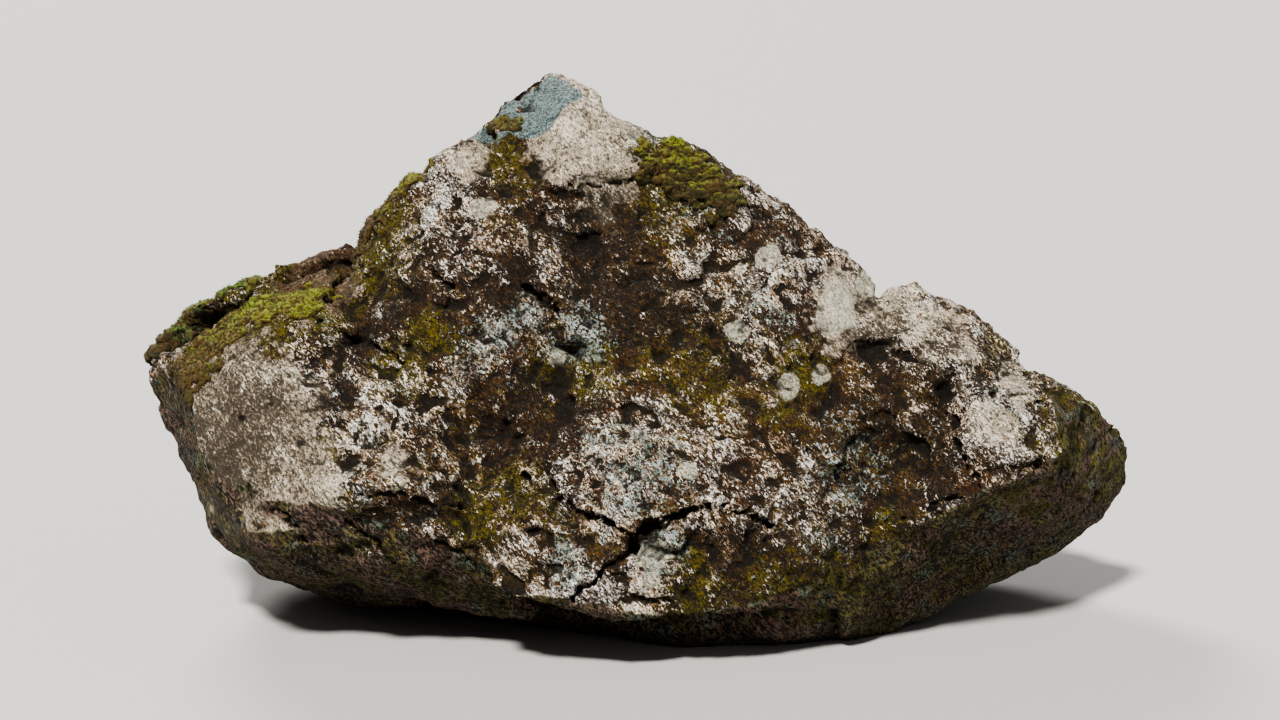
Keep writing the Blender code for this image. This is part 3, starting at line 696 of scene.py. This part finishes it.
def granite_grain_group():
    """Mineral grains of broken granite: pale feldspar, grey quartz and small dark mica."""
    tree, given, result = new_group(
        "granite grain",
        [("Vector", "NodeSocketVector"), ("Scale", "NodeSocketFloat")],
        [("Dark", "NodeSocketFloat"), ("Pale", "NodeSocketFloat")],
    )
    cells = add_node(tree, "ShaderNodeTexVoronoi", feature="F1")
    wire(tree, given["Vector"], cells.inputs["Vector"])
    wire(tree, given["Scale"], cells.inputs["Scale"])
    parts = add_node(tree, "ShaderNodeSeparateColor")
    wire(tree, cells.outputs["Color"], parts.inputs["Color"])
    wire(tree, between(tree, parts.outputs["Red"], 0.74, 0.82), result["Dark"])
    wire(tree, between(tree, parts.outputs["Green"], 0.35, 0.85), result["Pale"])
    return tree


flakes = flakes_group()
grains = granite_grain_group()


def layer(tree, name):
    return add_node(tree, "ShaderNodeAttribute", attribute_name=name).outputs["Fac"]


def weighed(tree, start, *parts):
    """A cover made of a starting value and shares of other values."""
    total = start
    for value, share in parts:
        total = sums(tree, "MULTIPLY_ADD", value, share, total)
    return total


def ragged(tree, value, wander, amount, low, high):
    """A painted layer's edge, made ragged by a noise about one half."""
    return between(tree, weighed(tree, value, (sums(tree, "SUBTRACT", wander, 0.5), amount)), low, high)


def boulder_finish():
    material = bpy.data.materials.new("weathered granite")
    material.use_nodes = True
    tree = material.node_tree
    surface = tree.nodes["Principled BSDF"]
    where = add_node(tree, "ShaderNodeTexCoord").outputs["Object"]
    lean = add_node(tree, "ShaderNodeMapping", vector_type="TEXTURE")
    wire(tree, where, lean.inputs["Vector"])
    lean.inputs["Rotation"].default_value = (0.0, math.radians(52), 0.0)
    lean.inputs["Scale"].default_value = (1.7, 1.0, 0.85)
    leaning = lean.outputs["Vector"]
    hollow_share = layer(tree, "hollow")
    deep = between(tree, hollow_share, 0.66, 1.0)
    proud = between(tree, hollow_share, 0.52, 0.10)
    # the dark crust layer also carries painted shade in the valley, the dishes, the low belly and the left
    # side
    white, dark, ochre = layer(tree, "white_flakes"), layer(tree, "dark_crust_and_shade"), layer(tree, "ochre")
    mossy, bluish = layer(tree, "moss_film"), layer(tree, "blue_crust")
    patchy = noise_node(tree, where, 0.050, 3.0, 0.6)
    cloudy = noise_node(tree, where, 0.020, 4.0, 0.65)
    drift = weighed(tree, -0.8, (patchy, 1.0), (cloudy, 0.6))
    streaks = noise_node(tree, leaning, 0.0048, 5.0, 0.72, 0.8)
    fine = noise_node(tree, leaning, 0.0024, 3.0, 0.7, 0.5)

    # brown-black crust, with rust and ochre films, lies lowest
    coat = blend(tree, between(tree, fine, 0.38, 0.66), rgb(0.008, 0.005, 0.003), rgb(0.078, 0.041, 0.017))
    rust_cover = weighed(tree, 0.42, (ochre, 0.34), (dark, -0.16), (drift, 0.8))
    rust = place_group(tree, flakes, Vector=leaning, Cover=rust_cover, Scale=300.0, Edge=0.10)["Mask"]
    rust_colour = blend(
        tree, between(tree, patchy, 0.40, 0.60), rgb(0.128, 0.050, 0.012), rgb(0.172, 0.100, 0.009)
    )
    rust_colour = blend(tree, between(tree, fine, 0.62, 0.36), rust_colour, rgb(0.040, 0.022, 0.006))
    coat = blend(tree, rust, coat, rust_colour)
    olive_cover = weighed(tree, -0.02, (mossy, 1.05), (dark, -0.22), (drift, 0.9))
    olive = place_group(tree, flakes, Vector=where, Cover=olive_cover, Scale=200.0, Edge=0.14)["Mask"]
    olive_colour = blend(
        tree, between(tree, fine, 0.40, 0.60), rgb(0.036, 0.026, 0.002), rgb(0.172, 0.134, 0.007)
    )
    coat = blend(tree, olive, coat, olive_colour)

    # grey-cream and white flakes of crust lichen over them, clinging to what stands proud
    cream_cover = weighed(
        tree, 0.20, (white, 0.22), (dark, -0.26), (ochre, -0.08), (mossy, -0.16), (proud, 0.10),
        (deep, -0.4), (drift, 1.1)
    )
    cream_set = place_group(tree, flakes, Vector=leaning, Cover=cream_cover, Scale=380.0, Edge=0.05)
    tone = noise_node(tree, where, 0.033, 3.0, 0.7)
    cream_colour = blend(
        tree, between(tree, tone, 0.42, 0.60), rgb(0.235, 0.200, 0.170), rgb(0.440, 0.305, 0.215)
    )
    coat = blend(tree, cream_set["Mask"], coat, cream_colour)
    white_cover = weighed(
        tree, 0.10, (white, 0.30), (dark, -0.13), (ochre, -0.02), (mossy, -0.06), (proud, 0.10),
        (deep, -0.4), (drift, 0.8)
    )
    white_set = place_group(tree, flakes, Vector=leaning, Cover=white_cover, Scale=430.0, Edge=0.05)
    coat = blend(
        tree,
        white_set["Mask"],
        coat,
        blend(tree, between(tree, tone, 0.40, 0.60), rgb(0.86, 0.84, 0.80), rgb(0.90, 0.80, 0.65)),
    )
    blue_cover = weighed(tree, 0.03, (bluish, 0.55))
    blue = place_group(tree, flakes, Vector=where, Cover=blue_cover, Scale=300.0, Edge=0.10)["Mask"]
    coat = blend(
        tree,
        blue,
        coat,
        blend(tree, between(tree, cloudy, 0.4, 0.6), rgb(0.24, 0.31, 0.26), rgb(0.44, 0.50, 0.50)),
    )
    # dark pits: painted shade in small pits, which the bump also sinks
    pits = place_group(tree, flakes, Vector=leaning, Cover=0.29, Scale=400.0, Edge=0.05)["Mask"]
    coat = blend(tree, sums(tree, "MULTIPLY", pits, 0.8), coat, rgb(0.016, 0.011, 0.008))

    # bare granite: cream, with fine dark specks and short leaning strokes
    strokes = weighed(tree, streaks, (fine, 0.7), (dark, -0.26), (drift, 0.12))
    bare_colour = blend(
        tree, between(tree, strokes, 0.66, 0.94), rgb(0.095, 0.074, 0.052), rgb(0.63, 0.54, 0.41)
    )
    specks = place_group(tree, flakes, Vector=leaning, Cover=0.24, Scale=600.0, Edge=0.14)["Mask"]
    bare_colour = blend(tree, sums(tree, "MULTIPLY", specks, 0.78), bare_colour, rgb(0.065, 0.050, 0.036))
    bare_colour = blend(
        tree, sums(tree, "MULTIPLY", white_set["Mask"], 0.8), bare_colour, rgb(0.86, 0.79, 0.68)
    )
    bare_share = ragged(tree, layer(tree, "bare"), cloudy, 1.8, 0.36, 0.60)
    coat = blend(tree, sums(tree, "MULTIPLY", bare_share, 0.93), coat, bare_colour)

    # round lichens, whole and soft-edged
    lichen_share = ragged(tree, layer(tree, "round_lichen"), cloudy, 1.3, 0.42, 0.62)
    lichen_colour = blend(
        tree, between(tree, fine, 0.46, 0.58), rgb(0.74, 0.72, 0.60), rgb(0.24, 0.22, 0.16)
    )
    coat = blend(tree, sums(tree, "MULTIPLY", lichen_share, 0.75), coat, lichen_colour)

    # the fresh break: blue-grey granite with small dark mica
    grain = place_group(tree, grains, Vector=where, Scale=520.0)
    fresh_colour = blend(tree, grain["Pale"], rgb(0.150, 0.205, 0.205), rgb(0.330, 0.410, 0.400))
    fresh_colour = blend(
        tree, sums(tree, "MULTIPLY", grain["Dark"], 0.8), fresh_colour, rgb(0.030, 0.045, 0.045)
    )
    scratches = between(tree, streaks, 0.50, 0.38)
    fresh_colour = blend(
        tree, sums(tree, "MULTIPLY", scratches, 0.45), fresh_colour, rgb(0.055, 0.075, 0.072)
    )
    fresh_share = ragged(tree, layer(tree, "fresh"), cloudy, 0.7, 0.35, 0.50)
    coat = blend(tree, fresh_share, coat, fresh_colour)

    # the damp underside, right end and foot: mauve-brown stone with dark green algae, darkened as painted
    # shade, with near-black patches of painted shade among its streaks
    under_colour = blend(
        tree, between(tree, patchy, 0.42, 0.56), rgb(0.250, 0.155, 0.118), rgb(0.235, 0.190, 0.062)
    )
    algae = between(tree, weighed(tree, tone, (cloudy, 0.4)), 0.70, 0.84)
    under_colour = blend(tree, algae, under_colour, rgb(0.185, 0.225, 0.170))
    growth = between(tree, weighed(tree, patchy, (tone, -0.6), (cloudy, 0.5), (mossy, 0.10)), 0.48, 0.58)
    under_colour = blend(tree, sums(tree, "MULTIPLY", growth, 0.8), under_colour, rgb(0.125, 0.108, 0.014))
    # near-black patches: painted shade on the underside
    under_dark = between(tree, weighed(tree, streaks, (fine, 0.6), (mossy, 0.06)), 0.76, 0.90)
    under_colour = blend(tree, under_dark, rgb(0.014, 0.010, 0.005), under_colour)
    under_share = ragged(
        tree, layer(tree, "underside"), weighed(tree, 0.0, (cloudy, 0.6), (fine, 0.4)), 2.0, 0.30, 0.70
    )
    coat = blend(tree, sums(tree, "MULTIPLY", under_share, 0.95), coat, under_colour)

    # reddish soil; then painted shade, with some dirt, darkening the cracks and hollows
    soil_share = ragged(tree, layer(tree, "soil"), cloudy, 1.4, 0.40, 0.60)
    soil_colour = blend(
        tree, between(tree, fine, 0.4, 0.6), rgb(0.040, 0.020, 0.010), rgb(0.200, 0.110, 0.072)
    )
    coat = blend(tree, sums(tree, "MULTIPLY", soil_share, 0.62), coat, soil_colour)
    # painted shade, with some dirt, in cracks and hollows
    coat = blend(tree, sums(tree, "MULTIPLY", deep, 0.80), coat, rgb(0.010, 0.008, 0.005))
    wire(tree, coat, surface.inputs["Base Color"])
    wire(tree, between(tree, cloudy, 0.3, 0.7, 0.80, 0.96), surface.inputs["Roughness"])

    # relief: flakes stand up, pits sink
    height = weighed(
        tree, sums(tree, "MULTIPLY", cream_set["Height"], 0.9), (white_set["Height"], 0.6),
        (fine, 0.6), (streaks, 0.9), (pits, -0.6), (olive, 0.2), (cloudy, 2.6),
    )
    relief_node = add_node(tree, "ShaderNodeBump")
    relief_node.inputs["Strength"].default_value = 0.95
    relief_node.inputs["Distance"].default_value = 0.0023
    wire(tree, height, relief_node.inputs["Height"])
    wire(tree, relief_node.outputs["Normal"], surface.inputs["Normal"])
    return material


boulder.data.materials.clear()
boulder.data.materials.append(boulder_finish())

# ---------------------------------------------------------------------------------------------------
# THE MOSS MATS
# Living cushions, 5 to 12 mm deep, held by their own rhizoids where the stone keeps damp. Each one is
# grown from the stone's surface under it, thick in the middle and frayed at its rim, with fine shoots.
# ---------------------------------------------------------------------------------------------------
MAT_FOOT = 0.0015  # how deep the foot of a mat is buried in the stone
MAT_SKIN = 0.0006  # the least that its top stands above the stone
SHOOT_HEIGHT = 0.0042
SHOOT_SPACING = 0.0028

# Mats: the line that each follows over the stone, reach to each side, thickness, deep colour, and tip
# colour, which is also the painted light on their lit tops.
MATS = {
    "moss_shoulder_cushion": (
        ((0.020, -0.058, 0.556), (0.057, -0.062, 0.542), (0.092, -0.066, 0.524)), 0.036, 0.007,
        rgb(0.030, 0.022, 0.003), rgb(0.185, 0.215, 0.012),
    ),
    "moss_left_slope": (
        (
            (-0.552, -0.140, 0.318), (-0.512, -0.125, 0.350), (-0.470, -0.115, 0.378),
            (-0.415, -0.120, 0.398),
        ), 0.046, 0.006,
        rgb(0.058, 0.040, 0.004), rgb(0.185, 0.225, 0.014),
    ),
    "moss_left_rim": (
        (
            (-0.592, 0.010, 0.330), (-0.575, 0.030, 0.366), (-0.540, 0.040, 0.392), (-0.500, 0.040, 0.402),
        ), 0.036, 0.006,
        rgb(0.012, 0.016, 0.004), rgb(0.120, 0.190, 0.024),
    ),
    "moss_left_crest": (
        (
            (-0.345, -0.050, 0.455), (-0.322, -0.045, 0.488), (-0.292, -0.035, 0.524),
            (-0.262, -0.025, 0.558),
        ), 0.026, 0.004,
        rgb(0.040, 0.026, 0.003), rgb(0.160, 0.165, 0.010),
    ),
    "moss_peak_tuft": (
        ((-0.178, -0.012, 0.603), (-0.160, -0.026, 0.601)), 0.017, 0.005,
        rgb(0.026, 0.026, 0.004), rgb(0.120, 0.135, 0.012),
    ),
}


def mat_height(points, line, reach):
    """1 along the middle of a mat, below 0 outside its frayed rim."""
    gap = distance_to_line(points, line)[0]
    height = np.full(len(points), -1.0)
    near = gap < reach * 1.6
    fray = rough(points[near], 0.024, 4, (5.0, 5.0, 2.0))
    height[near] = 0.92 - (gap[near] / reach) ** 2 + 1.35 * fray
    return height


def moss_finish(name, deep_colour, lit_tip_colour):
    material = bpy.data.materials.new(name)
    material.use_nodes = True
    tree = material.node_tree
    surface = tree.nodes["Principled BSDF"]
    where = add_node(tree, "ShaderNodeTexCoord").outputs["Object"]
    tufts = noise_node(tree, where, 0.0030, 4.0, 0.75, 0.8)
    broad_tufts = noise_node(tree, where, 0.024, 3.0, 0.6)
    # painted light: the lit layer turns faces that look up, and the higher parts of a mat, towards the lit
    # tip colour
    share = weighed(
        tree, -1.12, (layer(tree, "tip"), 0.30), (layer(tree, "lit"), 0.95), (tufts, 1.2),
        (broad_tufts, 0.6),
    )
    colour = blend(tree, between(tree, share, 0.05, 0.85), deep_colour, lit_tip_colour)
    dry = ragged(tree, broad_tufts, tufts, 0.9, 0.58, 0.44)
    colour = blend(tree, sums(tree, "MULTIPLY", dry, 0.60), colour, rgb(0.115, 0.062, 0.010))
    wire(tree, colour, surface.inputs["Base Color"])
    surface.inputs["Roughness"].default_value = 0.95
    surface.inputs["Sheen Weight"].default_value = 0.10
    surface.inputs["Sheen Roughness"].default_value = 0.6
    relief_node = add_node(tree, "ShaderNodeBump")
    relief_node.inputs["Strength"].default_value = 0.8
    relief_node.inputs["Distance"].default_value = 0.003
    wire(tree, tufts, relief_node.inputs["Height"])
    wire(tree, relief_node.outputs["Normal"], surface.inputs["Normal"])
    return material


def grow_mat(line, reach, thickness):
    """A closed mat whose foot is buried in the stone and whose top follows it in soft tufts."""
    inside = mat_height(points_of(fine_stone), line, reach) > 0.0
    shape = bmesh.new()
    shape.from_mesh(fine_stone)
    shape.verts.ensure_lookup_table()
    outer = [face for face in shape.faces if not all(inside[v.index] for v in face.verts)]
    bmesh.ops.delete(shape, geom=outer, context="FACES")
    bmesh.ops.subdivide_edges(shape, edges=shape.edges[:], cuts=1, use_grid_fill=True)
    shape.normal_update()
    foot = shape.verts[:]
    facing = {v: v.normal.copy() for v in foot}
    raised = bmesh.ops.extrude_face_region(shape, geom=shape.faces[:], use_keep_orig=True)["geom"]
    top = [element for element in raised if isinstance(element, bmesh.types.BMVert)]
    seats = np.array([v.co[:] for v in top])
    height = np.clip(mat_height(seats, line, reach) * 1.6, 0.0, 1.0) ** 0.6
    tufts = 0.28 * rough(seats, 0.0070, 3, (2.0, 2.0, 8.0))
    height *= 0.66 + tufts + 0.34 * rough(seats, 0.0030, 1, (4.0, 7.0, 1.0))
    shape.normal_update()
    normals = {v: v.normal.copy() for v in top}
    for v, share in zip(top, height):
        v.co += normals[v] * (MAT_SKIN + thickness * max(0.04, share))
    for v in foot:
        v.co -= facing[v] * MAT_FOOT
    bmesh.ops.recalc_face_normals(shape, faces=shape.faces)
    return shape


def shoot_mesh(tall):
    """Three pointed leaves, spread about one foot."""
    shape = bmesh.new()
    raised = Matrix.Translation((0.0, 0.0, tall * 0.38))
    for turn in (0.4, 2.5, 4.6):
        placed = Matrix.Rotation(turn, 4, "Z") @ Matrix.Rotation(0.55, 4, "X") @ raised
        bmesh.ops.create_cone(
            shape, cap_ends=True, segments=3, radius1=tall * 0.14, radius2=tall * 0.015, depth=tall,
            matrix=placed,
        )
    mesh = bpy.data.meshes.new("shoot")
    shape.to_mesh(mesh)
    shape.free()
    return mesh


def add_shoots(shape, tall, spacing, seed):
    """Sets small upright shoots over a mat, one for each square of the given spacing."""
    picker = random.Random(seed)
    shape.normal_update()
    bed = [face for face in shape.faces if face.normal.z > -0.2]
    areas = [face.calc_area() for face in bed]
    seats = [
        (face.calc_center_median(), face.normal.copy())
        for face in picker.choices(bed, areas, k=int(sum(areas) / spacing**2 / 2))
    ]
    shoot = shoot_mesh(tall)
    for seat, facing in seats:
        up = (facing + Vector((picker.uniform(-0.4, 0.4), picker.uniform(-0.4, 0.4), 0.7))).normalized()
        size = picker.uniform(0.6, 1.15)
        stand = Matrix.Translation(seat - facing * 0.0004) @ up.to_track_quat("Z", "Y").to_matrix().to_4x4()
        stand = stand @ Matrix.Rotation(picker.uniform(0.0, 6.28), 4, "Z") @ Matrix.Scale(size, 4)
        shoot.transform(stand)
        shape.from_mesh(shoot)
        shoot.transform(stand.inverted())
    bpy.data.meshes.remove(shoot)


for seed, (mat_name, (line, reach, thickness, deep_colour, lit_tip_colour)) in enumerate(MATS.items()):
    shape = grow_mat(line, reach, thickness)
    add_shoots(shape, SHOOT_HEIGHT, SHOOT_SPACING, seed)
    mat_piece = new_piece(mat_name.replace("moss_", "mat_"), shape)
    mat_points, mat_normals = points_of(mat_piece.data), normals_of(mat_piece.data)
    keep_layer(
        mat_piece.data, "tip", hollows_of(mat_piece.data, mat_points, mat_normals, 4) / -0.0012 + 0.4
    )
    # the lit layer is painted light, greater where the mat faces up and stands higher
    keep_layer(
        mat_piece.data,
        "lit",
        mat_normals[:, 2] * 1.1 - 0.30 + (mat_points[:, 2] - mat_points[:, 2].mean()) / reach * 0.35,
    )
    mat_piece.data.shade_smooth()
    mat_piece.data.materials.append(moss_finish(mat_name, deep_colour, lit_tip_colour))
    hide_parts(mat_name)
    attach(mat_piece, "root")

bpy.data.meshes.remove(fine_stone)

# ---------------------------------------------------------------------------------------------------
# THE ROOM
# A wide pale floor under pale air. A soft sun stands high in front on the left, a weak fill low on the
# right, and a fainter sun behind, so that every side can be read.
# ---------------------------------------------------------------------------------------------------
floor_shape = bmesh.new()
bmesh.ops.create_grid(floor_shape, x_segments=1, y_segments=1, size=40.0)
floor = new_piece("floor", floor_shape)
floor_paint = bpy.data.materials.new("pale floor")
floor_paint.use_nodes = True
floor_surface = floor_paint.node_tree.nodes["Principled BSDF"]
floor_surface.inputs["Base Color"].default_value = rgb(0.46, 0.455, 0.445)
floor_surface.inputs["Roughness"].default_value = 0.9
floor.data.materials.append(floor_paint)


MIDDLE = Vector((0.0, 0.0, 0.3))


def light(name, kind, place, power, colour):
    """A light aimed at the middle of the boulder, ready for its size to be set."""
    lamp = bpy.data.lights.new(name, kind)
    lamp.energy = power
    lamp.color = colour
    holder = bpy.data.objects.new(name, lamp)
    holder.location = place
    holder.rotation_euler = (MIDDLE - Vector(place)).to_track_quat("-Z", "Y").to_euler()
    bpy.context.scene.collection.objects.link(holder)
    return lamp


key_light = light("key light", "SUN", (-1.5, -4.4, 6.5), 5.0, (1.0, 0.97, 0.92))
key_light.angle = math.radians(9)
fill_light = light("fill light", "AREA", (4.0, -3.5, 1.2), 34.0, (0.90, 0.95, 1.0))
fill_light.size = 3.0
back_light = light("back light", "SUN", (-2.0, 5.0, 4.2), 2.2, (1.0, 0.98, 0.95))
back_light.angle = math.radians(20)

AIR_LIGHT = 0.20  # how strongly the air lights the stone
AIR_SEEN = 0.75  # added to that where the camera looks into it
air = bpy.data.worlds.new("pale air")
air.use_nodes = True
backdrop = air.node_tree.nodes["Background"]
backdrop.inputs["Color"].default_value = rgb(0.92, 0.91, 0.89)
sight = add_node(air.node_tree, "ShaderNodeLightPath").outputs["Is Camera Ray"]
air_strength = sums(air.node_tree, "MULTIPLY_ADD", sight, AIR_SEEN, AIR_LIGHT)
wire(air.node_tree, air_strength, backdrop.inputs["Strength"])
bpy.context.scene.world = air

VIEW_DISTANCE = 3.055
VIEW_HEIGHT_ANGLE = math.radians(10)
aim = Vector((-0.0037, -0.0426, 0.315))
lens = bpy.data.cameras.new("front view")
lens.lens = 70.0
lens.sensor_width = 36.0
camera = bpy.data.objects.new("front view", lens)
back = Vector((0.0, -math.cos(VIEW_HEIGHT_ANGLE), math.sin(VIEW_HEIGHT_ANGLE)))
camera.location = aim + back * VIEW_DISTANCE
camera.rotation_euler = (-back).to_track_quat("-Z", "Y").to_euler()
bpy.context.scene.collection.objects.link(camera)
bpy.context.scene.camera = camera

bpy.context.scene.view_settings.look = "AgX - High Contrast"
